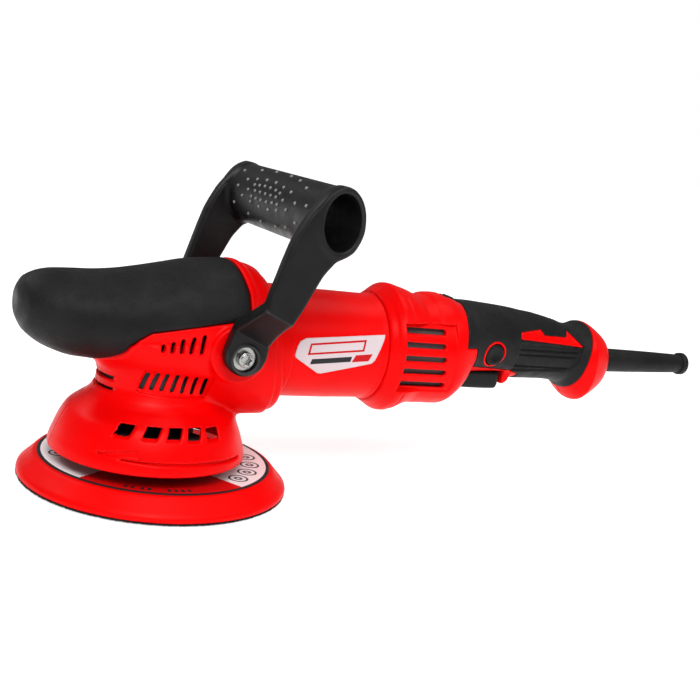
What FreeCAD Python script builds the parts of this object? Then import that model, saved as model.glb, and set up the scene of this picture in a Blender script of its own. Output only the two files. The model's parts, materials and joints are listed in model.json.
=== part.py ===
"""Dual action polisher with a 150 mm hook plate, as a parametric document of separate pieces.

Millimetres, +Z up. The origin is where the drive axis meets the hook face, which lies in z = 0.
+X runs back along the motor axis to the cord end, and the D-handle's two bolts lie along Y.
"""

import FreeCAD, Part
import Sketcher
import math
import os
import re

Vector = FreeCAD.Vector

SIZES = {
    # backing plate and its orbit
    "plate_radius": 75, "hook_top": 2, "rim_top": 4, "foam_top": 13, "foam_top_radius": 66.5,
    "orbit_offset": 10.5, "orbit_phase": 42, "centre_hole": 8.5, "label_radius": 64.8,
    "core_radius": 40, "core_low": 7, "core_high": 10, "hub_radius": 24, "hub_top": 16.5,
    # shafts and bearings
    "spindle_radius": 7.5, "spindle_top": 43.8, "drive_radius": 8.5, "running": 0.05,
    "bore_sixteen": 16, "seat_low": 52.3, "seat_high": 62.3, "upper_seat": 88,
    "motor_height": 84.4, "shaft_radius": 6, "shaft_rear": 4,
    # bevel gears
    "tooth_module": 1.3, "gear_teeth": 37, "pinion_teeth": 9, "gear_bore": 7, "pinion_bore": 2.3,
    # casings
    "skirt_low": 21, "case_radius": 28.5, "case_top": 100, "motor_radius": 31.2, "wall": 2.6,
    "motor_front": 60, "housing_split": 126, "grip_front": 182, "grip_rear": 286,
    "handle_end": 309.5, "grip_skin": 2.2,
    # motor
    "core_front": 84, "core_rear": 120, "armature_radius": 19.8, "stator_radius": 28.6,
    # D-handle
    "pivot_x": 31.7, "pivot_z": 84.1, "arm_tilt": 23.5, "arm_length": 84.6, "arm_width": 24.8,
    "arm_thick": 9, "boss_face": 41, "tube_half": 72, "tube_wide": 12.5, "tube_tall": 17.5,
    "tube_wall": 3.0,
    # controls
    "trigger_x": 190, "trigger_z": 72, "lock_x": 204.5, "lock_z": 87.6, "lock_radius": 5.6,
    "dial_x": 175.5, "dial_z": 108.9, "dial_radius": 9.5,
    # cord entry
    "sleeve_z": 82.7, "sleeve_radius": 7.1, "sleeve_end": 377, "cord_radius": 4,
}

doc = FreeCAD.newDocument("Polisher")
sheet = doc.addObject("Spreadsheet::Sheet", "Dims")
for row, (word, value) in enumerate(SIZES.items(), 1):
    sheet.set("A%d" % row, word)
    sheet.set("B%d" % row, str(value))
    sheet.setAlias("B%d" % row, word)
doc.recompute()

WORDS = re.compile(r"\b(%s)\b" % "|".join(sorted(SIZES, key=len, reverse=True)))
PIECES = []


def link(text):
    """The text with each dimension's bare name turned into its place in the sheet."""
    return WORDS.sub(r"Dims.\1", str(text))


def value_of(text):
    """The number that such a text comes to."""
    found = sheet.evalExpression(link(text))
    return float(getattr(found, "Value", found))


PLATE_X = "orbit_offset * cos(orbit_phase)"
PLATE_Y = "orbit_offset * sin(orbit_phase)"
PLATE_AXIS = (PLATE_X, PLATE_Y)
SIDES = ((-1, "-y", "left"), (1, "y", "right"))
TURN = {
    "x": FreeCAD.Rotation(Vector(0, 1, 0), 90),
    "y": FreeCAD.Rotation(Vector(1, 0, 0), -90),
    "-y": FreeCAD.Rotation(Vector(1, 0, 0), 90),
    "z": FreeCAD.Rotation(),
    "-x": FreeCAD.Rotation(Vector(0, 1, 0), -90),
    "-z": FreeCAD.Rotation(Vector(1, 0, 0), 180),
}


# ---- building blocks ----

def place(shape, at, along="z"):
    """Turns the shape's own Z to the named direction and binds its position to the sheet."""
    shape.Placement = FreeCAD.Placement(Vector(), TURN[along])
    for axis, text in zip("xyz", at):
        shape.setExpression("Placement.Base." + axis, link(text))
    return shape


def solid(kind, at=(0, 0, 0), along="z", **sizes):
    """A Part primitive whose properties are bound to the sheet."""
    shape = doc.addObject("Part::" + kind, kind)
    for name, text in sizes.items():
        shape.setExpression(name, link(text))
    return place(shape, at, along)


def cylinder(radius, height, at=(0, 0, 0), along="z"):
    return solid("Cylinder", at, along, Radius=radius, Height=height)


def box(low, high):
    """A box between two corners, each given as three texts or numbers."""
    spans = {side: "(%s) - (%s)" % (b, a) for side, a, b in zip(("Length", "Width", "Height"), low, high)}
    return solid("Box", low, **spans)


def fuse(*shapes):
    joined = doc.addObject("Part::MultiFuse", "Fuse")
    joined.Shapes = list(shapes)
    return joined


def common(*shapes):
    shared = doc.addObject("Part::MultiCommon", "Common")
    shared.Shapes = list(shapes)
    return shared


def cut(base, *tools):
    trimmed = doc.addObject("Part::Cut", "Cut")
    trimmed.Base = base
    trimmed.Tool = tools[0] if len(tools) == 1 else fuse(*tools)
    trimmed.Refine = False
    return trimmed


def group(*shapes):
    """Separate solids that share one node."""
    together = doc.addObject("Part::Compound", "Group")
    together.Links = list(shapes)
    return together


def rounded(shape, radius, pick):
    """A fillet on those edges whose middle passes the test."""
    doc.recompute()
    edges = []
    for number, edge in enumerate(shape.Shape.Edges, 1):
        middle = edge.valueAt((edge.FirstParameter + edge.LastParameter) / 2)
        if pick(middle):
            edges.append((number, radius, radius))
    fillet = doc.addObject("Part::Fillet", "Fillet")
    fillet.Base = shape
    fillet.Edges = edges
    return fillet


def plain(shape, name="Shape"):
    """A document object for a shape made with Part's own functions."""
    feature = doc.addObject("Part::Feature", name)
    feature.Shape = shape
    return feature


def piece(label, shape):
    """Names a finished sub-part and lists it for export."""
    shape.Label = label
    PIECES.append(shape)
    return shape


def turned(outline, at=(0, 0, 0), along="z"):
    """A body turned about its own Z from a half section of (radius, height) corners."""
    body = doc.addObject("PartDesign::Body", "Turned")
    sketch = body.newObject("Sketcher::SketchObject", "Section")
    planes = [p for p in body.Origin.OriginFeatures if p.Role == "XZ_Plane"]
    sketch.AttachmentSupport = (planes[0], [""])
    sketch.MapMode = "FlatFace"
    corners = [Vector(value_of(r), value_of(h), 0) for r, h in outline]
    count = len(corners)
    for i in range(count):
        sketch.addGeometry(Part.LineSegment(corners[i], corners[(i + 1) % count]), False)
    for i in range(count):
        sketch.addConstraint(Sketcher.Constraint("Coincident", i, 2, (i + 1) % count, 1))
    for i, texts in enumerate(outline):
        for kind, text, line in zip(("DistanceX", "DistanceY"), texts, (-2, -1)):
            number = corners[i].x if kind == "DistanceX" else corners[i].y
            if abs(number) < 1e-9:
                sketch.addConstraint(Sketcher.Constraint("PointOnObject", i, 1, line))
            else:
                made = sketch.addConstraint(Sketcher.Constraint(kind, -1, 1, i, 1, number))
                sketch.setExpression("Constraints[%d]" % made, link(text))
    turn = body.newObject("PartDesign::Revolution", "Turn")
    turn.Profile = sketch
    turn.ReferenceAxis = (sketch, ["V_Axis"])
    turn.Angle = 360
    return place(body, at, along)


def prism(points, y_low, y_high):
    """A prism along Y over a closed outline of (x, z) corners."""
    corners = [Vector(value_of(x), value_of(y_low), value_of(z)) for x, z in points]
    face = Part.Face(Part.makePolygon(corners + corners[:1]))
    return plain(face.extrude(Vector(0, value_of(y_high) - value_of(y_low), 0)))


def section(x, top, bottom, half_width, inset, power):
    """A closed smooth oval across X, squarer as the power rises above 2."""
    steps = 24
    middle = (top + bottom) / 2
    points = []
    for i in range(steps):
        angle = 2 * math.pi * i / steps
        c, s = math.cos(angle), math.sin(angle)
        y = math.copysign(abs(c) ** (2 / power), c) * (half_width - inset)
        z = math.copysign(abs(s) ** (2 / power), s) * ((top - bottom) / 2 - inset)
        points.append(Vector(x, y, middle + z))
    curve = Part.BSplineCurve()
    curve.interpolate(points, PeriodicFlag=True)
    return Part.Wire(curve.toShape())


def form(stations, inset=0.0, power=2.2):
    """A smooth solid through ovals given as (x, top, bottom, half width), drawn in by an inset."""
    first, last = stations[0][0], stations[-1][0]
    wires = []
    for x, top, bottom, half_width in stations:
        drawn = min(max(x, first + inset), last - inset) if x in (first, last) else x
        wires.append(section(drawn, top, bottom, half_width, inset, power))
    return plain(Part.makeLoft(wires, True))


def about_motor(stations):
    """Stations whose top and bottom are distances from the motor axis."""
    axis = value_of("motor_height")
    return [(x, axis + up, axis - down, half_width) for x, up, down, half_width in stations]


def halves(shape):
    """The left (y < 0) half of a symmetric shape and its mirror image, by side."""
    left = common(shape, box((-200, -100, -50), (500, 0, 300)))
    right = doc.addObject("Part::Mirroring", "Mirror")
    right.Source = left
    right.Normal = Vector(0, 1, 0)
    return {-1: left, 1: right}


def screw_room(spots, side):
    """Bores for the screws that hold two halves together: heads on the right, threads on the left."""
    if side < 0:
        return [cylinder(1.6, 12, (x, 1, z), "-y") for x, z in spots]
    threads = [cylinder(1.6, 14, (x, -1, z), "y") for x, z in spots]
    return threads + [cylinder(3.6, 40, (x, 12, z), "y") for x, z in spots]


def bearing(label, bore, outer, width, at, along="z", balls=8):
    """A ball bearing: inner ring, outer ring and a row of balls."""
    ring = "((%s) - (%s))" % (outer, bore)
    inner_edge = "%s + 0.3 * %s" % (bore, ring)
    outer_edge = "%s - 0.3 * %s" % (outer, ring)
    inner = turned([(bore, 0), (inner_edge, 0), (inner_edge, width), (bore, width)], at, along)
    outside = turned([(outer_edge, 0), (outer, 0), (outer, width), (outer_edge, width)], at, along)
    pitch = (value_of(bore) + value_of(outer)) / 2
    size = 0.2 * value_of(ring) - 0.05
    middle = Vector(*[value_of(v) for v in at])
    made = []
    for i in range(balls):
        angle = 2 * math.pi * i / balls
        spot = Vector(pitch * math.cos(angle), pitch * math.sin(angle), value_of(width) / 2)
        made.append(Part.makeSphere(size, middle + TURN[along].multVec(spot)))
    return piece(label, group(inner, outside, plain(Part.makeCompound(made))))


def coil(radius, wire, turns, height, at, along):
    """A compression spring whose own Z is turned to the named direction."""
    helix = Part.makeHelix(height / turns, height, radius)
    start = Vector(radius, 0, 0)
    profile = Part.Wire(Part.makeCircle(wire, start, Vector(0, 1, 0)))
    shape = Part.Wire(helix).makePipeShell([profile], True, True)
    feature = plain(shape)
    feature.Placement = FreeCAD.Placement(Vector(*at), TURN[along])
    return feature


def screw(head_radius, head_height, shank_radius, length, at, along):
    """A round-headed screw: its head's underside is at the position, its shank runs along the direction."""
    outline = [(0, 0), (head_radius, 0), (head_radius, "%s - 0.5" % head_height),
               ("%s - 0.5" % head_radius, head_height),
               (1.2, head_height), (1.2, "%s - 1.2" % head_height), (0, "%s - 1.2" % head_height)]
    opposite = {"x": "-x", "y": "-y", "-y": "y", "z": "-z", "-x": "x", "-z": "z"}[along]
    return fuse(turned(outline, at, opposite), cylinder(shank_radius, length, at, along))


# ---- the plate, which spins freely on the eccentric axis ----

def make_plate():
    on_axis = (PLATE_X, PLATE_Y, 0)
    piece("hook_face", turned([("centre_hole", 0), ("plate_radius", 0), ("plate_radius", "hook_top"),
                               ("centre_hole", "hook_top")], on_axis))
    piece("backing_plate", turned([
        ("centre_hole", "hook_top"), ("plate_radius", "hook_top"), ("plate_radius", "rim_top"),
        ("foam_top_radius", "foam_top"), ("hub_radius", "foam_top"), ("hub_radius", "core_high"),
        ("core_radius", "core_high"), ("core_radius", "core_low"), ("centre_hole", "core_low")], on_axis))
    piece("plate_core", turned([
        (4.1, "core_low"), ("core_radius", "core_low"), ("core_radius", "core_high"),
        ("hub_radius", "core_high"), ("hub_radius", "hub_top - 2"), ("hub_radius - 2", "hub_top"),
        (4.1, "hub_top")], on_axis))
    piece("plate_label", turned([
        ("hub_radius + 2", "foam_top"), ("label_radius", "foam_top"), ("label_radius", "foam_top + 0.4"),
        ("hub_radius + 2", "foam_top + 0.4")], on_axis))
    piece("plate_washer", turned([(4.1, "core_low - 1.6"), (8, "core_low - 1.6"), (8, "core_low"),
                                  (4.1, "core_low")], on_axis))
    head = cut(cylinder(6.5, 4.4, (PLATE_X, PLATE_Y, 1)),
               plain_hexagon(3, 2.6, (value_of(PLATE_X), value_of(PLATE_Y), 0.9)))
    piece("plate_bolt", fuse(head, cylinder(3.95, 24, (PLATE_X, PLATE_Y, 5.3))))
    piece("plate_spindle", turned([
        (4, "hub_top"), (12, "hub_top"), (12, 19), (9, 19), (9, 24.5), ("spindle_radius", 24.5),
        ("spindle_radius", "spindle_top - 1"), ("spindle_radius - 1", "spindle_top"), (0, "spindle_top"),
        (0, 36), (4, 36)], on_axis))


def plain_hexagon(flat, depth, at):
    """A hexagonal bar for a socket, its centre at the given point and its length along Z."""
    across = flat / math.cos(math.pi / 6)
    corners = [Vector(at[0] + across * math.cos(i * math.pi / 3), at[1] + across * math.sin(i * math.pi / 3), at[2])
               for i in range(6)]
    return plain(Part.Face(Part.makePolygon(corners + corners[:1])).extrude(Vector(0, 0, depth)))


# ---- the drive, which turns about Z and carries the plate's bearings ----

def make_counterweight():
    eccentric = cylinder(19.5, 25, PLATE_AXIS + (23,))
    hub = cylinder(15, 10, (0, 0, 40))
    sweep = 170
    weight = cylinder(42, 12.5, (0, 0, 23.5))
    weight.Angle = sweep
    facing = value_of("orbit_phase") + 180 - sweep / 2
    weight.Placement = FreeCAD.Placement(Vector(0, 0, 23.5), FreeCAD.Rotation(Vector(0, 0, 1), facing))
    solid_part = fuse(eccentric, hub, weight)
    piece("counterweight", cut(solid_part, cylinder("bore_sixteen", 22.2, PLATE_AXIS + (22,)),
                               cylinder("drive_radius", 10, (0, 0, 44))))


def make_drive():
    make_counterweight()
    bearing("spindle_bearing_lower", "spindle_radius + running", "bore_sixteen", 9, PLATE_AXIS + (25,))
    bearing("spindle_bearing_upper", "spindle_radius + running", "bore_sixteen", 9, PLATE_AXIS + (34.5,))
    piece("spindle_seal", turned([(9.3, 0), (15.9, 0), (15.9, 1.6), (9.3, 1.6)], PLATE_AXIS + (23.2,)))
    piece("drive_shaft", turned([
        (0, 45.2), ("drive_radius", 45.2), ("drive_radius", 65), ("gear_bore", 65), ("gear_bore", 80),
        ("shaft_rear", 80), ("shaft_rear", 95), (3, 96), (0, 96)]))
    piece("gear_ring", turned([("gear_bore", 78.6), (9, 78.6), (9, 79.8), ("gear_bore", 79.8)]))
    piece("bevel_gear", cut(make_bevel("gear"), cylinder("gear_bore", 30, (0, 0, 60))))


def bevel_tooth(pitch_point, outward, across, apex, root, tip, half_pitch, face):
    """One straight tooth from the outer end to the inner end, tapering towards the cone's apex."""
    slope = math.tan(math.radians(20))
    rings = []
    for scale in (1.0, face):
        corners = []
        for height, side in ((root, -1), (root, 1), (tip, 1), (tip, -1)):
            reach = half_pitch - height * slope
            corner = pitch_point + outward * height + across * (side * reach)
            corners.append(apex + (corner - apex) * scale)
        rings.append(Part.makePolygon(corners + corners[:1]))
    return Part.makeLoft(rings, True, True)


def make_bevel(which):
    """The crown gear about Z or the pinion about X, in mesh where both pass over +X."""
    module = value_of("tooth_module")
    radii = {name: module * value_of(name + "_teeth") / 2 for name in ("gear", "pinion")}
    apex = Vector(0, 0, value_of("motor_height"))
    face = 0.7
    root, tip = -1.2 * module, 0.75 * module
    across = Vector(0, 1, 0)
    pitch_point = apex + Vector(radii["gear"], 0, -radii["pinion"])
    cone = Vector(radii["gear"], 0, -radii["pinion"]).normalize()
    normal = Vector(-cone.z, 0, cone.x)
    if which == "gear":
        count, axis, outward = int(value_of("gear_teeth")), Vector(0, 0, 1), normal
        first, half_pitch = 180 / count, 0.2 * module * math.pi
        floor = 65
        outer = pitch_point + outward * (root + 0.2)
        inner = apex + (outer - apex) * face
        outline = [(0, floor), (16, floor), (16, 68), (outer.x - 1, 72), (outer.x, outer.z), (inner.x, inner.z),
                   (11, inner.z - 1), (11, 78.4), (0, 78.4)]
        blank = turned(outline)
    else:
        count, axis, outward = int(value_of("pinion_teeth")), Vector(1, 0, 0), normal * -1
        first, half_pitch = 0, 0.185 * module * math.pi
        outer = pitch_point + outward * (root + 0.2)
        inner = apex + (outer - apex) * face
        height = apex.z
        outline = [(0, inner.x), (height - inner.z, inner.x), (height - outer.z, outer.x),
                   (5.5, outer.x + 0.6), (5.5, 30.8), (0, 30.8)]
        blank = turned(outline, (0, 0, "motor_height"), "x")
    tooth = bevel_tooth(pitch_point, outward, across, apex, root, tip, half_pitch, face)
    teeth = []
    for i in range(count):
        copy = tooth.copy()
        copy.rotate(apex, axis, first + 360 * i / count)
        teeth.append(copy)
    return fuse(blank, plain(Part.makeCompound(teeth)))


# ---- the armature, which turns about the motor axis ----

def make_armature():
    on_motor = (0, 0, "motor_height")
    piece("pinion", cut(make_bevel("pinion"), cylinder("pinion_bore", 20, (14, 0, "motor_height"), "x")))
    piece("armature_shaft", turned([
        (0, 16), ("pinion_bore", 16), ("pinion_bore", 31), ("shaft_radius", 31), ("shaft_radius", 128),
        ("shaft_rear", 130), ("shaft_rear", 162), (0, 162)], on_motor, "x"))
    core = cylinder("armature_radius", "core_rear - core_front", ("core_front", 0, "motor_height"), "x")
    slots = []
    slot_count = 12
    for i in range(slot_count):
        slot = doc.addObject("Part::Box", "Slot")
        slot.setExpression("Length", link("core_rear - core_front + 2"))
        slot.Width = 2.4
        slot.Height = 7
        turn = FreeCAD.Rotation(Vector(1, 0, 0), 360 * i / slot_count)
        corner = Vector(value_of("core_front - 1"), -1.2, 14)
        slot.Placement = FreeCAD.Placement(turn.multVec(corner) + Vector(0, 0, value_of("motor_height")), turn)
        slots.append(slot)
    piece("armature_core", cut(core, cylinder("shaft_radius", 60, (70, 0, "motor_height"), "x"), *slots))
    ring = [("shaft_radius", 0), (15, 0), (18, 1.5), (18, 4.5), (15, 6), ("shaft_radius", 6)]
    piece("armature_windings", group(turned(ring, ("core_front - 6.1", 0, "motor_height"), "x"),
                                     turned(ring, ("core_rear + 0.1", 0, "motor_height"), "x")))
    bars = []
    for i in range(24):
        bar = Part.makeBox(16, 0.5, 2.2, Vector(132, -0.25, 9.8))
        bar.rotate(Vector(0, 0, 0), Vector(1, 0, 0), 15 * i)
        bar.translate(Vector(0, 0, value_of("motor_height")))
        bars.append(bar)
    drum = cut(cylinder(11.3, 16, (132, 0, "motor_height"), "x"), cylinder("shaft_rear", 20, (130, 0, "motor_height"), "x"))
    piece("commutator", cut(drum, plain(Part.makeCompound(bars))))
    make_fan()


def make_fan():
    """A radial fan: a disc on a hub with straight vanes towards the motor."""
    disc = turned([("shaft_radius", 0), (25.5, 0), (25.5, 1.6), (10, 1.6), (10, 9), ("shaft_radius", 9)],
                  (66, 0, "motor_height"), "x")
    vanes = []
    vane_count = 12
    for i in range(vane_count):
        vane = Part.makeBox(7, 1.2, 12.5, Vector(67, -0.6, 12.5))
        vane.rotate(Vector(0, 0, 18), Vector(1, 0, 0), 25)
        vane.rotate(Vector(0, 0, 0), Vector(1, 0, 0), 360 * i / vane_count)
        vane.translate(Vector(0, 0, value_of("motor_height")))
        vanes.append(vane)
    trim = cylinder(25.5, 12, (64, 0, "motor_height"), "x")
    piece("motor_fan", fuse(disc, common(plain(Part.makeCompound(vanes)), trim)))


# ---- gear case, bearings and motor parts fixed in the housing ----

DIAGONALS = [(math.cos(math.radians(a)), math.sin(math.radians(a))) for a in (45, 135, 225, 315)]
RETAINER_SPOTS = [(26.8 * c, 26.8 * s) for c, s in DIAGONALS]
FLANGE_SPOTS = [(26 * c, value_of("motor_height") + 26 * s) for c, s in DIAGONALS]


def make_gear_case():
    trunk = cylinder("case_radius", "case_top - seat_high", (0, 0, "seat_high"))
    snout = cylinder(22, 54, (0, 0, "motor_height"), "x")
    flange = cylinder(31, 6, (54, 0, "motor_height"), "x")
    holes = [
        cylinder(25.2, "86 - seat_high", (0, 0, "seat_high")),
        cylinder(6, 10, (0, 0, 80)),
        cylinder(11, 8.8, (0, 0, "upper_seat")),
        cylinder(8, 40, (0, 0, "motor_height"), "x"),
        cylinder("bore_sixteen", 10, (38, 0, "motor_height"), "x"),
        cylinder(19, 13, (48, 0, "motor_height"), "x"),
    ]
    holes += [cylinder(1.5, 9.7, (x, y, "seat_high")) for x, y in RETAINER_SPOTS]
    holes += [cylinder(2, 20, (50, y, z), "x") for y, z in FLANGE_SPOTS]
    piece("gear_case", cut(fuse(trunk, snout, flange), *holes))
    plate = turned([(12, 50.5), ("case_radius", 50.5), ("case_radius", "seat_high"), (17.5, "seat_high"), (17.5, "seat_low"),
                    (12, "seat_low")])
    piece("bearing_retainer", cut(plate, *[cylinder(1.5, 20, (x, y, 48)) for x, y in RETAINER_SPOTS]))
    piece("retainer_screws", group(*[screw(2.7, 2.2, 1.45, 20, (x, y, 50.4), "z") for x, y in RETAINER_SPOTS]))
    piece("gear_case_screws", group(*[screw(3, 2.5, 1.95, 10, (53.9, y, z), "x") for y, z in FLANGE_SPOTS]))
    bearing("drive_bearing_lower", "drive_radius + running", 17.5, 10, (0, 0, "seat_low"))
    bearing("drive_bearing_upper", "shaft_rear + running", 11, 7, (0, 0, "upper_seat"), balls=7)


def make_motor():
    on_motor = (0, 0, "motor_height")
    tube = turned([
        ("motor_radius - wall + 0.1", "motor_front"), ("motor_radius", "motor_front"),
        ("motor_radius", "housing_split - 0.3"), ("motor_radius - wall + 0.1", "housing_split - 0.3")], on_motor, "x")
    front_ring = turned([(21, 0), (29, 0), (29, 4), (21, 4)], ("motor_front + 0.1", 0, "motor_height"), "x")
    screw_holes = [cylinder(2, 10, (58, y, z), "x") for y, z in FLANGE_SPOTS]
    piece("motor_housing", cut(fuse(tube, front_ring), *screw_holes))
    band = turned([("motor_radius + 0.02", 0), ("motor_radius + 0.5", 0), ("motor_radius + 0.5", 56),
                   ("motor_radius + 0.02", 56)], (68, 0, "motor_height"), "x")
    outline = [(68.4, 83.5), (70.5, 89.5), (75, 93.5), (122.5, 97.3), (116.5, 81.3), (84, 73.4)]
    piece("motor_label", common(band, prism(outline, -40, -20)))
    bearing("front_motor_bearing", "shaft_radius + running", "bore_sixteen", 10, (38, 0, "motor_height"), "x")
    bearing("rear_motor_bearing", "shaft_rear + running", 11, 7, (154, 0, "motor_height"), "x", balls=7)
    ring = turned([(20.5, 0), ("stator_radius", 0), ("stator_radius", "core_rear - core_front"),
                   (20.5, "core_rear - core_front")], ("core_front", 0, "motor_height"), "x")
    piece("stator_core", ring)
    coil_ring = [(21.5, 0), (27.4, 0), (28, 1.5), (28, 4), (21.5, 4)]
    piece("field_coils", group(turned(coil_ring, ("core_front - 4.1", 0, "motor_height"), "x"),
                               turned(coil_ring, ("core_rear + 0.1", 0, "motor_height"), "x")))
    piece("air_baffle", turned([(19.5, 0), (28.5, 0), (28.5, 1.6), (19.5, 1.6)],
                               (76.5, 0, "motor_height"), "x"))
    web = turned([(11, 0), (14, 0), (14, 1), (27.4, 1), (27.4, 5), (14, 5), (14, 9), (5.5, 9), (5.5, 7.2), (11, 7.2)],
                 (153.8, 0, "motor_height"), "x")
    windows = []
    for i in range(4):
        window = Part.makeBox(8, 9, 8, Vector(152, -4.5, 18))
        window.rotate(Vector(0, 0, 0), Vector(1, 0, 0), 45 + 90 * i)
        window.translate(Vector(0, 0, value_of("motor_height")))
        windows.append(window)
    piece("bearing_bridge", cut(web, plain(Part.makeCompound(windows))))
    make_brushes()


def make_brushes():
    """Two spring-loaded brushes in open tubes, one each side of the commutator."""
    middle = value_of("motor_height")
    holders, brushes, springs = [], [], []
    for side, along, _ in SIDES:
        def block(front, rear, near, far, half):
            """A box across the motor, its Y given as distances from the axis on this side."""
            low, high = sorted((side * near, side * far))
            return box((front, low, middle - half), (rear, high, middle + half))

        brushes.append(block(137, 144, 11.7, 20.7, 3))
        holders.append(cut(block(135, 146, 14, 27.5, 5), block(136.9, 144.1, 13, 26, 3.1)))
        springs.append(coil(1.9, 0.35, 4, 4.6, (140.5, side * 21, middle), along))
    piece("brush_holders", group(*holders))
    piece("carbon_brushes", group(*brushes))
    piece("brush_springs", group(*springs))


# ---- head cover and its soft grip ----

HEAD = [
    (-78.5, 104, 90, 9), (-73, 112, 84, 20), (-60, 115.8, 76.5, 28.5), (-40, 116.8, 72.6, 33),
    (-15, 120.2, 68, 35.5), (12, 126.6, 56, 37.5), (34, 128.7, 48, 38.5), (52, 124.5, 43, 38.5),
    (60, 120.8, 43.4, 38), (67.6, 118.9, 46.6, 36.6),
]
SKIRT = [(54, 21), (53.4, 25), (52, 29.5), (49.7, 35.8), (46.2, 42.3), (39.7, 47.9), (36.3, 50.5), (33.2, 54.6),
         (31.6, 59.8), (31.8, 64.8), (33.6, 70.8), (34, 82)]
GRIP_EDGE = [(-95, 55), (-36, 55), (-36, 81), (-27, 82), (-21, 88), (-15, 92.5), (4.6, 96.2), (30, 101),
             (37.5, 104), (37.5, 115), (34.5, 128), (34, 145), (-95, 145)]
COVER_SCREWS = [(-54, 92), (-10, 111.5)]


def make_head():
    outside = form(HEAD)
    under_grip = form(HEAD, 2.6)
    hollow = form(HEAD, 5.4)
    zone = prism(GRIP_EDGE, -60, 60)
    grip = piece("head_grip", common(cut(outside, under_grip), zone))
    skirt = turned([(0, 21)] + SKIRT + [(0, 82)])
    inner_wall = [("%s - wall" % r, z) for r, z in SKIRT[1:]]
    inside = turned([(0, 18), (SKIRT[0][0] - 2.6, 18)] + inner_wall + [(0, 82)])
    shell = cut(fuse(cut(outside, zone), common(under_grip, zone), skirt), grip)
    hollowed = cut(shell, hollow, inside, cylinder("motor_radius + 0.4", 30, (50, 0, "motor_height"), "x"))
    sides = halves(hollowed)
    for side, along, name in SIDES:
        boss = cylinder(14.5, 15.7, ("pivot_x", side * 25, "pivot_z"), along)
        pillars = common(fuse(*[cylinder(4.6, 25, (x, 0, z), along) for x, z in COVER_SCREWS]), under_grip)
        bores = [cylinder(6.5, 14.1, ("pivot_x", side * 26.6, "pivot_z"), along)]
        bores += screw_room(COVER_SCREWS, side)
        piece("head_cover_" + name, cut(fuse(sides[side], boss, pillars), *bores))
    inserts = []
    for side, along, name in SIDES:
        inserts.append(turned([(4, 0), (6.5, 0), (6.5, 13.5), (4, 13.5)], ("pivot_x", side * 26.8, "pivot_z"), along))
    piece("handle_inserts", group(*inserts))


# ---- rear handle, its soft grips and controls ----

HANDLE = about_motor([
    (126, 31.8, 31.8, 31.8), (130, 35.3, 34.6, 35), (134, 37.8, 37.2, 37.5), (138, 38, 38, 37.9),
    (142, 36.9, 36.5, 36.2), (148, 35.2, 33.8, 34), (154, 32.9, 32.7, 32.6), (168, 34.4, 32.7, 32.8),
    (176, 33.4, 32.2, 32), (184, 31.2, 28, 29), (192, 31, 19, 26), (206, 30.4, 16.2, 23.5),
    (232, 27.6, 15.2, 21), (257, 23.6, 15, 19), (269, 20.9, 18.8, 19), (277, 21.8, 25.8, 21.5),
    (284, 23, 28.2, 23.3), (291, 19.6, 24, 20.4), (297, 15.4, 19.2, 17), (300.5, 10, 11, 11),
])
HANDLE_SCREWS = [(149, 109), (229, 105), (258, 76), (287.5, 97.4)]
INTAKE_HEIGHTS = (68.7, 76.9, 84.6, 92.4, 100.3)


def make_handle():
    outside = form(HANDLE)
    core = form(HANDLE, value_of("grip_skin"))
    hollow = form(HANDLE, 5)
    zone = box(("grip_front", -60, 20), ("grip_rear", 60, 150))
    end_room = box((120, -60, 20), (304, 60, 150))
    open_front = cylinder(29, 10, ("housing_split - 2", 0, "motor_height"), "x")
    intakes = [box((137, -60, z - 1.6), (163, 60, z + 1.6)) for z in INTAKE_HEIGHTS]
    shell = cut(fuse(cut(outside, zone), common(core, zone)), common(hollow, end_room), open_front, *intakes)
    lock_bore = cylinder("lock_radius + 0.3", 22, ("lock_x", -14, "lock_z"), "-y")
    trigger_room = box((185.6, -13.5, 50), (220, 13.5, 82))
    dial_room = box(("dial_x - dial_radius - 0.5", -4.4, "dial_z - dial_radius - 0.5"),
                    ("dial_x + dial_radius + 0.5", 4.4, 130))
    dial_bearing = cylinder(1.56, 14, ("dial_x", -7, "dial_z"), "y")
    sleeve_hole = cylinder("sleeve_radius + 0.02", 20, (292, 0, "sleeve_z"), "x")
    pin_hole = cylinder(1.5, 31, ("trigger_x", -15.5, "trigger_z"), "y")
    rooms = {-1: [trigger_room, dial_room, dial_bearing, lock_bore], 1: [trigger_room, dial_room, dial_bearing]}
    shells, grips = halves(shell), halves(cut(common(outside, zone), core))
    for side, along, name in SIDES:
        pillars = common(fuse(*[cylinder(4.4, 35, (x, 0, z), along) for x, z in HANDLE_SCREWS]), core)
        bores = screw_room(HANDLE_SCREWS, side)
        body, grip = fuse(shells[side], pillars), grips[side]
        for tool in (sleeve_hole, pin_hole, *rooms[side], *bores):
            body = cut(body, tool)
        for tool in (*rooms[side], *bores):
            grip = cut(grip, tool)
        piece("handle_shell_" + name, body)
        piece("handle_grip_" + name, grip)
    piece("trigger_pin", cylinder(1.48, 30, ("trigger_x", -15, "trigger_z"), "y"))
    spots = [(x, 12, z) for x, z in COVER_SCREWS + HANDLE_SCREWS]
    piece("housing_screws", group(*[screw(3.4, 2.4, 1.5, 20, spot, "-y") for spot in spots]))


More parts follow.
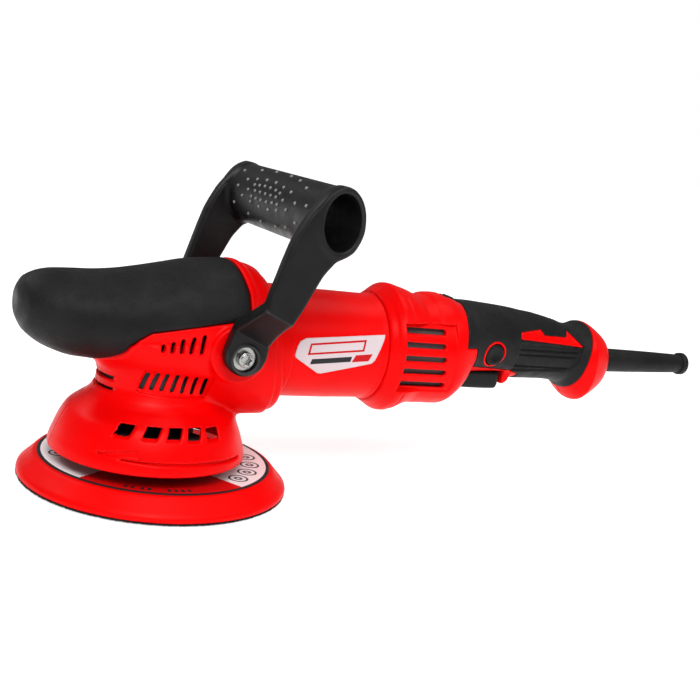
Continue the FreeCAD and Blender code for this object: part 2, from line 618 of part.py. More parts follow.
def make_controls():
    block = box((187.2, -12.8, 61), (217, 12.8, 75))
    eased = rounded(block, 3, lambda p: p.z < 62 or p.x > 216)
    lug_bore = cylinder(1.54, 40, ("trigger_x", -20, "trigger_z"), "y")
    fin = box((208, -2.5, 74.5), (215, 2.5, 85))
    piece("trigger", cut(fuse(eased, fin), lug_bore))
    head = cylinder("lock_radius", 8, ("lock_x", -16.5, "lock_z"), "-y")
    stem = cylinder(2.5, 4, ("lock_x", -13, "lock_z"), "-y")
    piece("lock_button", rounded(fuse(head, stem), 0.8, lambda p: p.y < -24.4))
    wheel = cylinder("dial_radius", 7.6, ("dial_x", -3.8, "dial_z"), "y")
    notches = []
    notch_count = 20
    reach = value_of("dial_radius")
    for i in range(notch_count):
        angle = 2 * math.pi * i / notch_count
        spot = Vector(value_of("dial_x") + reach * math.cos(angle), -5, value_of("dial_z") + reach * math.sin(angle))
        notches.append(Part.makeCylinder(0.6, 10, spot, Vector(0, 1, 0)))
    axle = cylinder(1.5, 13, ("dial_x", -6.5, "dial_z"), "y")
    piece("speed_dial", fuse(cut(wheel, plain(Part.makeCompound(notches))), axle))
    fin_room = box((205, -3.2, 83), (219, 3.2, 90.5))
    piece("switch_body", cut(box((196, -8.8, 84), (240, 8.8, 99)), fin_room))
    piece("control_module", box((165, -13, 67), (185, 13, 78)))
    piece("trigger_spring", coil(2.6, 0.4, 5, 6.4, (203.5, 0, 76.6), "z"))
    piece("lock_spring", coil(3.2, 0.3, 2.5, 3.4, (value_of("lock_x"), -12.0, value_of("lock_z")), "-y"))
    lower = box((279, -10, 72), (287, 10, 77.6))
    upper = box((279, -10, 87.8), (287, 10, 91.5))
    piece("cord_clamp", group(lower, upper))
    piece("strain_relief", turned([
        ("cord_radius", 0), (9.5, 0), (9.5, 3.6), ("sleeve_radius", 3.6), ("sleeve_radius", 24),
        ("sleeve_radius - 0.5", 83.7), (7.7, 84.5), (7.7, 86.7), (7.2, 87.5), ("cord_radius", 87.5)],
        ("sleeve_end - 87.5", 0, "sleeve_z"), "x"))


# ---- D-handle, which tilts about its two bolts ----

ARM_FRONT = [(-12.4, 0), (-12.2, 14), (-13.1, 28), (-15.5, 45), (-17, 55), (-18, 66), (-17.5, 77), (-15.6, 86),
             (-12.6, 93), (-7.2, 99.6)]
ARM_REAR = [(-4, 99.6), (6, 93), (12, 85), (12.6, 75.5), (9.4, 70), (7.3, 64), (5.2, 55), (5.2, 35), (4.2, 27),
            (8, 13.5), (12.4, 0)]


def make_d_handle():
    """Two flat arms that jog out from the bosses to a hollow oval tube."""
    side = value_of("arm_width") / 2
    length = value_of("arm_length")
    thick = value_of("arm_thick")
    low, high = value_of("boss_face"), value_of("tube_half")
    tilt = FreeCAD.Rotation(Vector(0, 1, 0), value_of("arm_tilt"))
    pivot = Vector(value_of("pivot_x"), 0, value_of("pivot_z"))
    stretch = FreeCAD.Placement(pivot, tilt)
    arms = []
    for way in (-1, 1):
        path = [(low, -side), (low + thick, -side), (low + thick, 11), (high, 27), (high, length + 20),
                (high - thick, length + 20), (high - thick, 31), (low, 15)]
        corners = [Vector(-20, way * y, z) for y, z in path]
        arm = Part.Face(Part.makePolygon(corners + corners[:1])).extrude(Vector(40, 0, 0))
        boss = Part.makeCylinder(side, 200, Vector(0, -100, 0), Vector(0, 1, 0))
        edge = [Vector(across, -100, up) for across, up in ARM_FRONT + ARM_REAR]
        blade = Part.Face(Part.makePolygon(edge + edge[:1])).extrude(Vector(0, 200, 0))
        trimmed = arm.common(boss.fuse(blade))
        trimmed.Placement = stretch
        arms.append(plain(trimmed))
    centre = stretch.multVec(Vector(0, 0, length))
    tubes = []
    for inset, end in ((0, high), (value_of("tube_wall"), high + 5)):
        oval = Part.Ellipse(Vector(0, 0, 0), value_of("tube_tall") - inset, value_of("tube_wide") - inset)
        disc = Part.Face(Part.Wire(oval.toShape())).extrude(Vector(0, 0, 2 * end))
        disc.Placement = FreeCAD.Placement(centre - Vector(0, end, 0),
                                           FreeCAD.Rotation(Vector(0, 0, 1), Vector(1, 0, 0), Vector(0, 1, 0), "ZXY"))
        tubes.append(plain(disc))
    bores = [cylinder(4.08, 120, ("pivot_x", -60, "pivot_z"), "y")]
    for side_name, along in ((1, "y"), (-1, "-y")):
        bores.append(cylinder(6.7, 10, ("pivot_x", "%d * (boss_face + 5.2)" % side_name, "pivot_z"), along))
    piece("d_handle", cut(fuse(tubes[0], *arms), tubes[1], *bores))
    bolts = []
    for side_name, along, inward in ((1, "y", "-y"), (-1, "-y", "y")):
        head = cylinder(5.9, 4.3, ("pivot_x", "%d * (boss_face + 6.8)" % side_name, "pivot_z"), along)
        socket = Part.makeCylinder(2.6, 2.6, Vector(*[value_of(v) for v in (
            "pivot_x", "%d * (boss_face + 8.6)" % side_name, "pivot_z")]), Vector(0, side_name, 0))
        shank = cylinder(4, 21, ("pivot_x", "%d * (boss_face + 7)" % side_name, "pivot_z"), inward)
        bolts.append(cut(fuse(head, shank), plain(socket)))
    piece("handle_bolts", group(*bolts))
    washers = [turned([(4.02, 0), (6.3, 0), (6.3, 1.2), (4.02, 1.2)],
                      ("pivot_x", "%d * (boss_face + 5.5)" % s, "pivot_z"), along) for s, along in ((1, "y"), (-1, "-y"))]
    piece("handle_washers", group(*washers))


for make in (make_plate, make_drive, make_armature, make_gear_case, make_motor, make_head, make_handle,
             make_controls, make_d_handle):
    make()
doc.recompute()

for thing in doc.Objects:
    if "Invalid" in thing.State or "Error" in thing.State:
        raise SystemExit("%s (%s) failed: %s" % (thing.Name, thing.Label, thing.State))
os.makedirs("parts", exist_ok=True)
for thing in PIECES:
    if thing.Shape.isNull() or not thing.Shape.isValid() or not thing.Shape.Solids:
        raise SystemExit("%s has no valid shape" % thing.Label)
for thing in PIECES:
    thing.Shape.exportStep("parts/%s.step" % thing.Label)
print("%d sub-parts written" % len(PIECES))
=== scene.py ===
import json
import math
import random

import bmesh
import bpy
import numpy as np
import openvdb
from mathutils import Matrix, Vector


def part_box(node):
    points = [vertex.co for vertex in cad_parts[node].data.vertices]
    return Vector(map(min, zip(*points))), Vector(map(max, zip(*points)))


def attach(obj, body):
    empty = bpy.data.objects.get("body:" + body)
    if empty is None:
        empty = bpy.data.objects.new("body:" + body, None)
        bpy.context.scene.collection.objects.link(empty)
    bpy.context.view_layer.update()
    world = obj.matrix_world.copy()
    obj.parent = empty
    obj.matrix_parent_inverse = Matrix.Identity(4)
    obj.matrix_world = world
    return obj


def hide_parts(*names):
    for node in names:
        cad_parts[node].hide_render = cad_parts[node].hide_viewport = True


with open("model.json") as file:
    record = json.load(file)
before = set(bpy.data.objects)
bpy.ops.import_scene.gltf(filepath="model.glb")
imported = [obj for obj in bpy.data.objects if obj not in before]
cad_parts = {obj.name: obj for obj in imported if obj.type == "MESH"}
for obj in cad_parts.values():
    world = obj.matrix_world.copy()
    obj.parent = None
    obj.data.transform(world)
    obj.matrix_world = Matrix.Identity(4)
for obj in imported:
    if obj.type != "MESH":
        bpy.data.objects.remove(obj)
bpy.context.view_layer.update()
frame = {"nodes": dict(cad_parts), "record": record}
MM = 0.001
FINE = 0.75

# ---------------------------------------------------------------- shape tools, in millimetres


def curve(rows):
    """Smooth curve through (t, value) rows that never overshoots them."""
    t, v = np.array(rows, float).T
    step, rise = np.diff(t), np.diff(v) / np.diff(t)
    both = rise[1:] * rise[:-1] > 0
    mean = 2 * rise[1:] * rise[:-1] / np.where(both, rise[1:] + rise[:-1], 1)
    slope = np.concatenate([rise[:1], np.where(both, mean, 0), rise[-1:]])

    def at(x):
        x = np.clip(x, t[0], t[-1])
        k = np.clip(np.searchsorted(t, x, side="right") - 1, 0, len(t) - 2)
        h = step[k]
        s = (x - t[k]) / h
        ease = s * s * (3 - 2 * s)
        turn = s * (1 - s) * h * ((1 - s) * slope[k] - s * slope[k + 1])
        return v[k] * (1 - ease) + v[k + 1] * ease + turn

    return at


def smin(a, b, k):
    """Union of two fields with a fillet about k wide."""
    h = np.maximum(k - np.abs(a - b), 0) / k
    return np.minimum(a, b) - h * h * k / 4


def smax(a, b, k):
    """Intersection of two fields with a rounded edge about k wide."""
    return -smin(-a, -b, k)


def loft(rows, power):
    """Field of a body along X through (x, top, bottom, half width) rows."""
    top, low, wide = (curve([(r[0], r[k]) for r in rows]) for k in (1, 2, 3))

    def field(x, y, z):
        up, down, half = top(x), low(x), np.maximum(wide(x), 0.05)
        mid, tall = (up + down) / 2, np.maximum((up - down) / 2, 0.05)
        h = 0.05
        steep = np.maximum(np.abs(top(x + h) - up), np.abs(wide(x + h) - wide(x))) / h
        rho = np.maximum(np.hypot(y, z - mid), 0.3)
        s = (np.abs(y / half) ** power + np.abs((z - mid) / tall) ** power) ** (1 / power)
        d = rho - rho / np.maximum(s, 0.3 / np.maximum(tall, half))
        ends = np.maximum(rows[0][0] - x, x - rows[-1][0])
        return np.maximum(d / np.sqrt(1 + np.minimum(steep, 6) ** 2), ends)

    return field


def turned(rows):
    """Field of a body turned about an axis, through (place along it, radius) rows."""
    radius = curve(rows)

    def field(along, r):
        here = radius(along)
        steep = (radius(along + 0.05) - here) / 0.05
        return (r - here) / np.sqrt(1 + np.minimum(steep * steep, 9))

    return field


def outline(u, v, corners):
    """Distance to a closed outline in a plane, negative inside."""
    best, inside = 1e9, False
    for (ax, ay), (bx, by) in zip(corners, corners[1:] + corners[:1]):
        ex, ey, wx, wy = bx - ax, by - ay, u - ax, v - ay
        t = np.clip((wx * ex + wy * ey) / (ex * ex + ey * ey), 0, 1)
        best = np.minimum(best, (wx - ex * t) ** 2 + (wy - ey * t) ** 2)
        crossed = ((ay > v) != (by > v)) & (u < ex * (v - ay) / (ey or 1e-9) + ax)
        inside = np.logical_xor(inside, crossed)
    return np.where(inside, -1, 1) * np.sqrt(best)


def bars(u, v, rows, width):
    """Distance to a row of straight slots given by their two ends."""
    best = 1e9
    for (ax, ay), (bx, by) in rows:
        ex, ey, wx, wy = bx - ax, by - ay, u - ax, v - ay
        t = np.clip((wx * ex + wy * ey) / (ex * ex + ey * ey), 0, 1)
        best = np.minimum(best, np.hypot(wx - ex * t, wy - ey * t))
    return best - width / 2

# ---------------------------------------------------------------- head

MOTOR_Z = 84.4
PIVOT = (31.7, 84.1)
HEAD = loft([
    (-78.4, 99.4, 98.4, 0.5), (-78.1, 101.8, 95.4, 4.2), (-77.2, 104.8, 92, 8.7),
    (-75.8, 107.8, 88.8, 12.9), (-73, 111.3, 84.4, 18.7), (-66, 114.6, 79, 25), (-60, 115.8, 76.2, 28.3),
    (-50, 116.4, 73.2, 31.3), (-40, 116.7, 72.2, 33.1),
    (-28, 117.9, 70.6, 34.6), (-15, 120.3, 68, 35.8), (0, 123.8, 62, 37), (12, 126.6, 56, 37.8),
    (24, 128, 51, 38.3), (34, 128.7, 48, 38.6), (44, 127.4, 44.8, 38.6), (52, 124.6, 43, 38.4),
    (60, 120.8, 43.4, 38), (66, 119.2, 45.6, 37.2), (72, 118.6, 49, 35.6),
], 2.2)
BELL = turned([
    (17, 54.2), (21, 54), (25, 53.4), (29.5, 52), (35.8, 49.7), (42.3, 46.2), (47.9, 39.7), (50.5, 36.3),
    (54.6, 33.2), (59.8, 31.6), (64.8, 31.8), (70.8, 33.6), (76, 36), (82, 38),
])
GRIP_ZONE = [
    (-99, 50), (-24.5, 50), (-24.5, 83.6), (-21, 88), (-15, 92.3), (4.6, 96.2), (30, 101), (37.5, 104),
    (37.5, 115), (34.8, 128), (34.4, 150), (-99, 150),
]
VENTS = [
    ((-8.9, 84), (-8.4, 86)), ((-4.1, 83.9), (-3.3, 87.6)), ((0.8, 84), (1.7, 89.5)),
    ((5.9, 84.1), (7.4, 90.8)), ((11.7, 84.1), (12.8, 92.3)),
]
GRILLE = [
    ((-14.7, 61.6), (-12.8, 69.1)), ((-10, 61.7), (-7.9, 69.5)), ((-4.9, 61.7), (-3, 69.5)),
    ((0.7, 61.3), (2.5, 69.2)), ((6.4, 60.7), (7.6, 68.6)), ((12.5, 59.9), (13.4, 68.1)),
    ((19, 59), (18.8, 67.6)),
]
GRILLE_PANEL = [(-14.5, 71.4), (22.7, 69.8), (21.4, 56.5), (-17.1, 59.1)]
# middle in X and Z, half width and lean of each window in the bell
WINDOWS = [
    (-24.4, 41.8, 3.6, 0.75), (-11.4, 42, 3.8, 0.6), (0.1, 42, 3.6, 0.36), (10.9, 41.7, 3.7, 0.18),
    (21.9, 41.3, 3.7, -0.14),
]
# sunk leaf and rim line of the bell, as angle about the drive axis and height
LEAF = [(-141, 28.5), (-126, 31), (-112, 33.6), (-110, 28.9)]
RIM = [
    (-139, 28.4), (-104, 28.4), (-66, 27.8), (-38, 26.5), (-42, 25.2), (-66, 26), (-104, 27), (-121, 27.7),
]


def head_form(x, y, z):
    """The head and its bell as one filleted form, without the arm bosses."""
    bell = np.maximum(BELL(z, np.hypot(x, y)), z - 84)
    return smin(HEAD(x, y, z), bell, 7)


def grip_zone(x, y, z):
    """Negative where the rubber of the head covers it."""
    neck = np.maximum(np.hypot(x, y) - 39, z - 84)
    return smax(outline(x, z, GRIP_ZONE), -neck, 3)

# ---------------------------------------------------------------- rear handle

HANDLE = loft([(x, MOTOR_Z + up, MOTOR_Z - down, half) for x, up, down, half in [
    (139, 37.4, 37.2, 36.7), (140.3, 37.2, 37, 36.5), (143, 36.7, 35.9, 35.9), (146, 35.9, 34.6, 35),
    (149.4, 34.7, 33.4, 33.8), (153.6, 32.9, 32.7, 32.7), (159.6, 33.1, 32.7, 32.7),
    (163.5, 34.4, 32.7, 32.8), (168.8, 34.7, 32.8, 32.8), (173.7, 34.2, 32.8, 32.6),
    (177, 33.2, 31.8, 32), (181, 31.7, 28.8, 30.6),
    (184.5, 31.2, 25, 29), (187, 31.1, 19.5, 27.8), (189, 31, 14.4, 27), (191, 31, 12.6, 26.4),
    (206, 30.2, 12.4, 23.8), (219, 29.2, 12.8, 22.3), (226, 28.5, 14.2, 21.6), (232, 27.6, 15, 21.1),
    (241, 26.6, 14.9, 20.2), (250, 25, 14.9, 19.4), (258.3, 23.3, 15.2, 19), (266, 21.2, 16.6, 18.9),
    (272, 20.7, 20.6, 20), (277.3, 21.9, 25.8, 21.7), (281.4, 23.2, 28.4, 23.3), (282.8, 23.4, 28.6, 23.6),
    (283.6, 23.1, 28.2, 23.3), (290, 19.8, 24.4, 20.6), (295, 16.6, 20.6, 18), (298, 14, 17.2, 15.4),
    (300, 10.8, 13.2, 12.3), (300.8, 8.4, 9.6, 9.4),
]], 2.2)

# ---------------------------------------------------------------- meshes


def show(name, mesh, body, replaced=(), slot=None):
    """A new piece of the object from a finished mesh."""
    thing = bpy.data.objects.new(name, mesh)
    bpy.context.scene.collection.objects.link(thing)
    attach(thing, body)
    if replaced:
        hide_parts(*replaced)
    if slot:
        mesh.materials.append(FINISHES[slot])
    return thing


def settle(field, points, reach):
    """Moves points onto the surface of a field, at most reach each time."""
    for _ in range(3):
        x, y, z = points.T
        here = field(x, y, z)
        h = 0.04
        slope = np.stack([
            field(x + h, y, z) - field(x - h, y, z), field(x, y + h, z) - field(x, y - h, z),
            field(x, y, z + h) - field(x, y, z - h)], 1) / (2 * h)
        size = np.maximum((slope ** 2).sum(1), 0.2)
        move = -(here / size)[:, None] * slope
        length = np.maximum(np.linalg.norm(move, axis=1), 1e-9)
        points = points + move * np.minimum(1, reach / length)[:, None]
    return points


def grown(name, field, low, high, step):
    """Closed mesh of the space where a field is negative, inside a box given in millimetres."""
    x, y, z = (np.arange(a, b + step, step) for a, b in zip(low, high))
    values = field(x[:, None, None], y[None, :, None], z[None, None, :]) / step
    grid = openvdb.FloatGrid(3.0)
    grid.copyFromArray(np.clip(values, -3, 3).astype(np.float32))
    points, quads = grid.convertToQuads(0.0)
    points = settle(field, np.array(low) + points.astype(float) * step, 0.3 * step)
    corner = points[quads]
    turn = np.cross(corner[:, 1] - corner[:, 0], corner[:, 2] - corner[:, 0])
    if (turn * (corner.mean(1) - points.mean(0))).sum() < 0:
        quads = quads[:, ::-1]
    mesh = bpy.data.meshes.new(name)
    mesh.from_pydata((points * MM).tolist(), [], quads.tolist())
    mesh.validate()
    mesh.shade_smooth()
    return mesh


def lathe(name, rows, centre, axis="z", sides=180, ripple=None, crease=38):
    """Closed ring or disc turned from a profile of (radius, place along the axis) rows."""
    b = bmesh.new()
    rings = []
    for k, (r, h) in enumerate(rows):
        ring = []
        for i in range(sides):
            a = 2 * math.pi * i / sides
            radius = r + (ripple(k, i) if ripple else 0)
            u, v = radius * math.cos(a), radius * math.sin(a)
            spot = (u, v, h) if axis == "z" else (h, u, v)
            ring.append(b.verts.new([(c + s) * MM for c, s in zip(centre, spot)]))
        rings.append(ring)
    for one, two in zip(rings, rings[1:] + rings[:1]):
        for i in range(sides):
            j = (i + 1) % sides
            b.faces.new((one[i], one[j], two[j], two[i]))
    return finished(name, b, crease)


def finished(name, b, crease):
    """Mesh data from a bmesh, smooth but for edges sharper than a crease angle."""
    bmesh.ops.recalc_face_normals(b, faces=b.faces)
    for face in b.faces:
        face.smooth = True
    for edge in b.edges:
        edge.smooth = edge.calc_face_angle(0) < math.radians(crease)
    mesh = bpy.data.meshes.new(name)
    b.to_mesh(mesh)
    b.free()
    return mesh

# ---------------------------------------------------------------- finishes


def finish(name, colour, rough, metal=0.0, grain=0.5, bump=0.15, uneven=0.08, spread=0.1, speck=0.004,
           edge_wear_and_highlight=None, brushed=None, extra=()):
    """A node material: mottled colour, varied roughness, fine bump and lighter rounded edges, partly wear and
    partly painted highlight.

    grain is the size of the bump in millimetres, uneven how far the roughness varies, spread how far
    the colour does, speck how much lighter its specks are, edge_wear_and_highlight the colour of lighter
    rounded edges, rubbed wear on some finishes and painted highlight on others, and brushed the axis
    along which a metal is drawn.
    """
    made = bpy.data.materials.new(name)
    made.use_nodes = True
    nodes, links = made.node_tree.nodes, made.node_tree.links
    shader = nodes["Principled BSDF"]
    place = nodes.new("ShaderNodeTexCoord")
    scale = nodes.new("ShaderNodeMapping")
    links.new(place.outputs["Object"], scale.inputs["Vector"])
    if brushed:
        scale.inputs["Scale"].default_value = [0.06 if a == brushed else 1 for a in "xyz"]

    def noise(size, detail):
        n = nodes.new("ShaderNodeTexNoise")
        n.inputs["Scale"].default_value = 1 / (size * MM)
        n.inputs["Detail"].default_value = detail
        links.new(scale.outputs["Vector"], n.inputs["Vector"])
        return n.outputs["Fac"]

    def ramp(value, low, high, a, b):
        r = nodes.new("ShaderNodeMapRange")
        for key, v in zip(("From Min", "From Max", "To Min", "To Max"), (low, high, a, b)):
            r.inputs[key].default_value = v
        links.new(value, r.inputs["Value"])
        return r.outputs["Result"]

    def mixed(factor, a, b):
        m = nodes.new("ShaderNodeMix")
        m.data_type = "RGBA"
        links.new(factor, m.inputs["Factor"])
        for socket, v in zip((m.inputs["A"], m.inputs["B"]), (a, b)):
            if isinstance(v, tuple):
                socket.default_value = (*v, 1)
            else:
                links.new(v, socket)
        return m.outputs["Result"]

    fine, broad = noise(grain, 3), noise(22, 4)
    dark, light = (tuple(c * (1 + s * spread) for c in colour) for s in (-1, 1))
    tone = mixed(ramp(broad, 0.35, 0.65, 0, 1), dark, light)
    tone = mixed(ramp(fine, 0.62, 0.8, 0, 0.35), tone, tuple(c * 1.25 + speck for c in colour))
    # lighter colour on rounded edges, found by pointiness: rubbed wear on some finishes, a painted highlight
    # on others
    if edge_wear_and_highlight:
        edge = nodes.new("ShaderNodeNewGeometry").outputs["Pointiness"]
        tone = mixed(ramp(edge, 0.52, 0.6, 0, 0.6), tone, edge_wear_and_highlight)
    links.new(tone, shader.inputs["Base Color"])
    links.new(ramp(noise(7, 5), 0.3, 0.7, rough - uneven, rough + uneven), shader.inputs["Roughness"])
    shader.inputs["Metallic"].default_value = metal
    relief = nodes.new("ShaderNodeBump")
    relief.inputs["Strength"].default_value = bump
    relief.inputs["Distance"].default_value = grain * MM * 0.4
    links.new(fine, relief.inputs["Height"])
    links.new(relief.outputs["Normal"], shader.inputs["Normal"])
    for key, value in extra:
        shader.inputs[key].default_value = value
    return made


FINISHES = {
    "red_shell": finish("red_shell", (0.78, 0.0004, 0.0008), 0.34, grain=0.35, bump=0.05, uneven=0.05,
                        spread=0.04, speck=0.001, edge_wear_and_highlight=(0.86, 0.006, 0.006),
                        extra=[("Specular IOR Level", 0.07)]),
    # soft_grip's light specks are painted glints on the rubber's grain
    "soft_grip": finish("soft_grip", (0.006, 0.006, 0.0064), 0.5, grain=0.75, bump=1, uneven=0.1,
                        spread=0.35, speck=0.03, edge_wear_and_highlight=(0.02, 0.02, 0.02),
                        extra=[("Specular IOR Level", 0.16)]),
    # black_nylon's light grey edge colour is a painted highlight along the handle's rounded edges
    "black_nylon": finish("black_nylon", (0.0055, 0.0055, 0.0058), 0.4, grain=0.5, bump=0.4, spread=0.3,
                          edge_wear_and_highlight=(0.11, 0.11, 0.11), extra=[("Specular IOR Level", 0.18)]),
    "red_foam": finish("red_foam", (0.8, 0.0006, 0.0008), 0.42, grain=0.3, bump=0.15, spread=0.04,
                       extra=[("Specular IOR Level", 0.07)]),
    "hook_loop": finish("hook_loop", (0.012, 0.012, 0.013), 0.9, grain=0.8, bump=1, spread=0.4,
                        extra=[("Specular IOR Level", 0.2)]),
    "pale_label": finish("pale_label", (0.6, 0.52, 0.54), 0.35, grain=0.6, bump=0.03, spread=0.03,
                         extra=[("Specular IOR Level", 0.15)]),
    "bright_steel": finish("bright_steel", (0.36, 0.36, 0.35), 0.24, metal=1, bump=0.1, brushed="x"),
    "bearing_steel": finish("bearing_steel", (0.1, 0.1, 0.105), 0.4, metal=1, grain=0.6, bump=0.08,
                            brushed="z"),
    "laminated_steel": finish("laminated_steel", (0.12, 0.12, 0.13), 0.5, metal=1, bump=0.4, brushed="y"),
    # cast_weight is painted near black and not metallic: painted shade under the bell
    "cast_weight": finish("cast_weight", (0.02, 0.02, 0.02), 0.75, grain=1.2, bump=0.5),
    # cast_aluminium is near black: painted shade for the gear case and other inner parts seen through the
    # vents
    "cast_aluminium": finish("cast_aluminium", (0.06, 0.06, 0.062), 0.65, metal=1, grain=0.9, bump=0.45),
    "copper_wire": finish("copper_wire", (0.55, 0.2, 0.08), 0.4, metal=1, grain=0.6, bump=0.5, brushed="x"),
    "brass_insert": finish("brass_insert", (0.7, 0.48, 0.17), 0.3, metal=1, grain=0.5, bump=0.2),
    "carbon": finish("carbon", (0.03, 0.03, 0.032), 0.6, grain=0.4, bump=0.4),
    "seal_rubber": finish("seal_rubber", (0.02, 0.02, 0.02), 0.7, grain=0.5, bump=0.3),
}

# each CAD piece takes the finish named by its material, and cast_aluminium, with its painted shade, where
# none is listed
for names in frame["record"]["behaviour"]["bodies"].values():
    for name in names:
        for held in frame["nodes"][name].material_slots:
            key = held.material.name.split(".")[0]
            held.material = FINISHES.get(key, FINISHES["cast_aluminium"])

# ---------------------------------------------------------------- anchors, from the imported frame


def middle(node):
    """Middle of a CAD node's box, in millimetres."""
    low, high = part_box(node)
    return (low + high) / 2 / MM


PLATE = middle("hook_face")
SLEEVE = middle("strain_relief")
DIAL = middle("speed_dial")
LOCK = middle("lock_button") - Vector((1.3, 0, 0))
TUBE = (65.43, 161.69)
TUBE_HALF = (12.5, 17.5)

# ---------------------------------------------------------------- head


WALL = 2.6
LIP = 0.7
BELL_END = 20.9
LINE_SCALE = 0.85


def head_cover(side):
    """Red half of the head and bell, with its vents, windows and arm boss."""

    def field(x, y, z):
        ay = side * y
        form = head_form(x, y, z)
        boss = smax(np.hypot(x - PIVOT[0], z - PIVOT[1]) - 15.4, ay - 40.5, 1.2)
        skin = smin(form, boss, 2.5)
        zone = grip_zone(x, y, z)
        lip = smax(smax(form - LIP, zone - 4.5, 1.2), 30 - x, 1)
        skin = smin(skin, lip, 1.5)

        # the stepped rear, down to the collar round the motor housing
        down = MOTOR_Z - z
        step = smax(form + 1.4, x - 59.6 - 0.16 * down, 3)
        skin = smin(smax(skin, x - 54.4 - 0.13 * down, 1.2), step, 0.6)
        collar = smax(np.hypot(y, down) - 32.7, x - 66.8, 1)
        skin = smin(skin, np.maximum(collar, 50 - x), 1)

        # what is sunk into the surface
        panel = np.maximum(outline(x, z, GRILLE_PANEL), 15 - ay)
        skin = smax(skin, -np.maximum(panel, -form - 1.2), 0.3)
        around = np.degrees(np.arctan2(-ay, x)) * LINE_SCALE
        for corners, deep in ((LEAF, 1.2), (RIM, 1.8)):
            sunk = outline(around, z, [(a * LINE_SCALE, h) for a, h in corners])
            skin = smax(skin, -np.maximum(sunk, -form - deep), 0.2)

        # vents, grille, windows and slits
        cuts = bars(x, z, VENTS, 2.2)
        cuts = np.minimum(cuts, bars(x, z, GRILLE, 2.3))
        cuts = np.maximum(cuts, 18 - ay)
        for at, high, half, lean in WINDOWS:
            across = np.maximum(np.abs(x - at - (z - high) * lean) - half, 20 - ay)
            cuts = np.minimum(cuts, smax(across, np.abs(z - high - 0.1) - 2.4, 0.4))
            sill = np.clip((z - high + 4.2) * 1.6, 0, 2.5)
            pocket = smax(across, np.abs(z - high + 0.8) - 3.4, 0.4)
            skin = smax(skin, -np.maximum(pocket, -form - sill), 0.2)
        for high, tall in ((62.9, 1.2), (57, 0.9)):
            slit = smax(np.abs(z - high - 0.06 * (x + 30)) - tall, x + 26.5, 0.6)
            cuts = np.minimum(cuts, np.maximum(slit, np.hypot(x, y) - 40))
        skin = smax(skin, -cuts, 0.5)

        # the hollow, the room for the rubber and the motor, the bolt's bore and the split
        skin = smax(skin, -np.maximum(form + WALL, x - 52), 0.5)
        skin = smax(skin, -(zone - 0.2), 0.8)
        skin = smax(skin, BELL_END - z, 1)
        motor = np.maximum(np.hypot(y, z - MOTOR_Z) - 31.5, 55 - x)
        skin = smax(skin, -motor, 0.6)
        bore = np.hypot(x - PIVOT[0], z - PIVOT[1]) - 4.3
        skin = np.maximum(skin, -np.maximum(bore, 20 - ay))
        return smax(skin, 0.06 - ay, 0.4)

    low, high = sorted((0.0, side * 56.0))
    return grown("head", field, (-58, low - 1, 19.5), (77, high + 1, 131), FINE)


def head_grip():
    """The rubber over the head's front and top."""

    def field(x, y, z):
        form = HEAD(x, y, z)
        skin = smax(form - 0.5, grip_zone(x, y, z), 2.6)
        skin = smax(skin, -78.3 - x, 1)
        return smax(skin, -(form + 2.6), 0.8)

    return grown("grip", field, (-81, -40, 69), (41, 40, 131), FINE * 1.1)


SIDES = ((-1, "left"), (1, "right"))
for side, name in SIDES:
    show("look_head_cover_" + name, head_cover(side), "housing", ["head_cover_" + name], "red_shell")
show("look_head_grip", head_grip(), "housing", ["head_grip"], "soft_grip")

# ---------------------------------------------------------------- motor housing

profile = curve([(60, 31.2), (75, 31.3), (94.8, 31.3), (107, 31.1), (120, 30.9), (123.5, 31), (125.2, 31.6)])
rows = [(float(profile(x)), x) for x in np.linspace(61, 125.2, 40)]
rows += [(31.5, 125.7), (30.9, 125.8), (29.2, 125.8), (28.8, 61)]
show("look_motor_housing", lathe("motor", rows, (0, 0, MOTOR_Z), "x", 200), "housing", ["motor_housing"],
     "red_shell")

# ---------------------------------------------------------------- rear handle

SHELL = loft([(x, MOTOR_Z + up, MOTOR_Z - down, half) for x, up, down, half in [
    (125.7, 31.7, 31.7, 31.7), (126, 32.3, 32.3, 32.3), (126.6, 32.9, 32.8, 32.8), (130.5, 35.3, 35, 35.2),
    (131, 35.8, 35.4, 35.7), (133.6, 37.6, 37, 37.3), (134.6, 38.1, 37.6, 37.8), (136, 38.2, 38, 38),
    (137.9, 38, 38.1, 37.9), (140.3, 37.4, 37.2, 36.9)]], 2.03)
# where the rubber of the handle lies, seen from the side
RED_EDGE = [(183.8, 135), (183.2, 116), (181.6, 112), (180, 106), (179, 98), (178.6, 92), (187.6, 91.4),
            (190.4, 78.9), (222, 76.4), (229, 74), (231, 50), (268, 50), (270.6, 60), (274.6, 74),
            (278.8, 92), (281.6, 106), (282.6, 135)]
SIDE_PANEL = [(134.3, 104.8), (170.5, 104.8), (172, 64.8), (134.3, 64.8)]
INTAKES = [((136.9, z + 0.15), (far, z - 0.15)) for z, far in (
    (100.3, 162), (92.4, 162), (84.6, 163.2), (76.9, 164.4), (68.7, 166.6))]
INLAY = [(222.5, 101.6), (239, 103.6), (242.1, 100.2), (260.2, 99.4), (262.6, 103.2), (274, 93.6),
         (222.4, 97.4)]
GROOVED = [(222.5, 95), (273, 93), (270.5, 84), (265.5, 77.6), (221.5, 76.6)]
GUARD = [(214, 78), (226, 78), (225.2, 72), (223.8, 68.4), (221, 66.6), (217.6, 66.6), (215.4, 68.4),
         (214, 71.5)]


def handle_form(x, y, z):
    """The collar round the motor and the rear handle behind it, as one form."""
    return np.where(x < 140.3, SHELL(x, y, z), HANDLE(x, y, z))


TRIGGER_ROOF = 80.5
END_WALL = 296.5


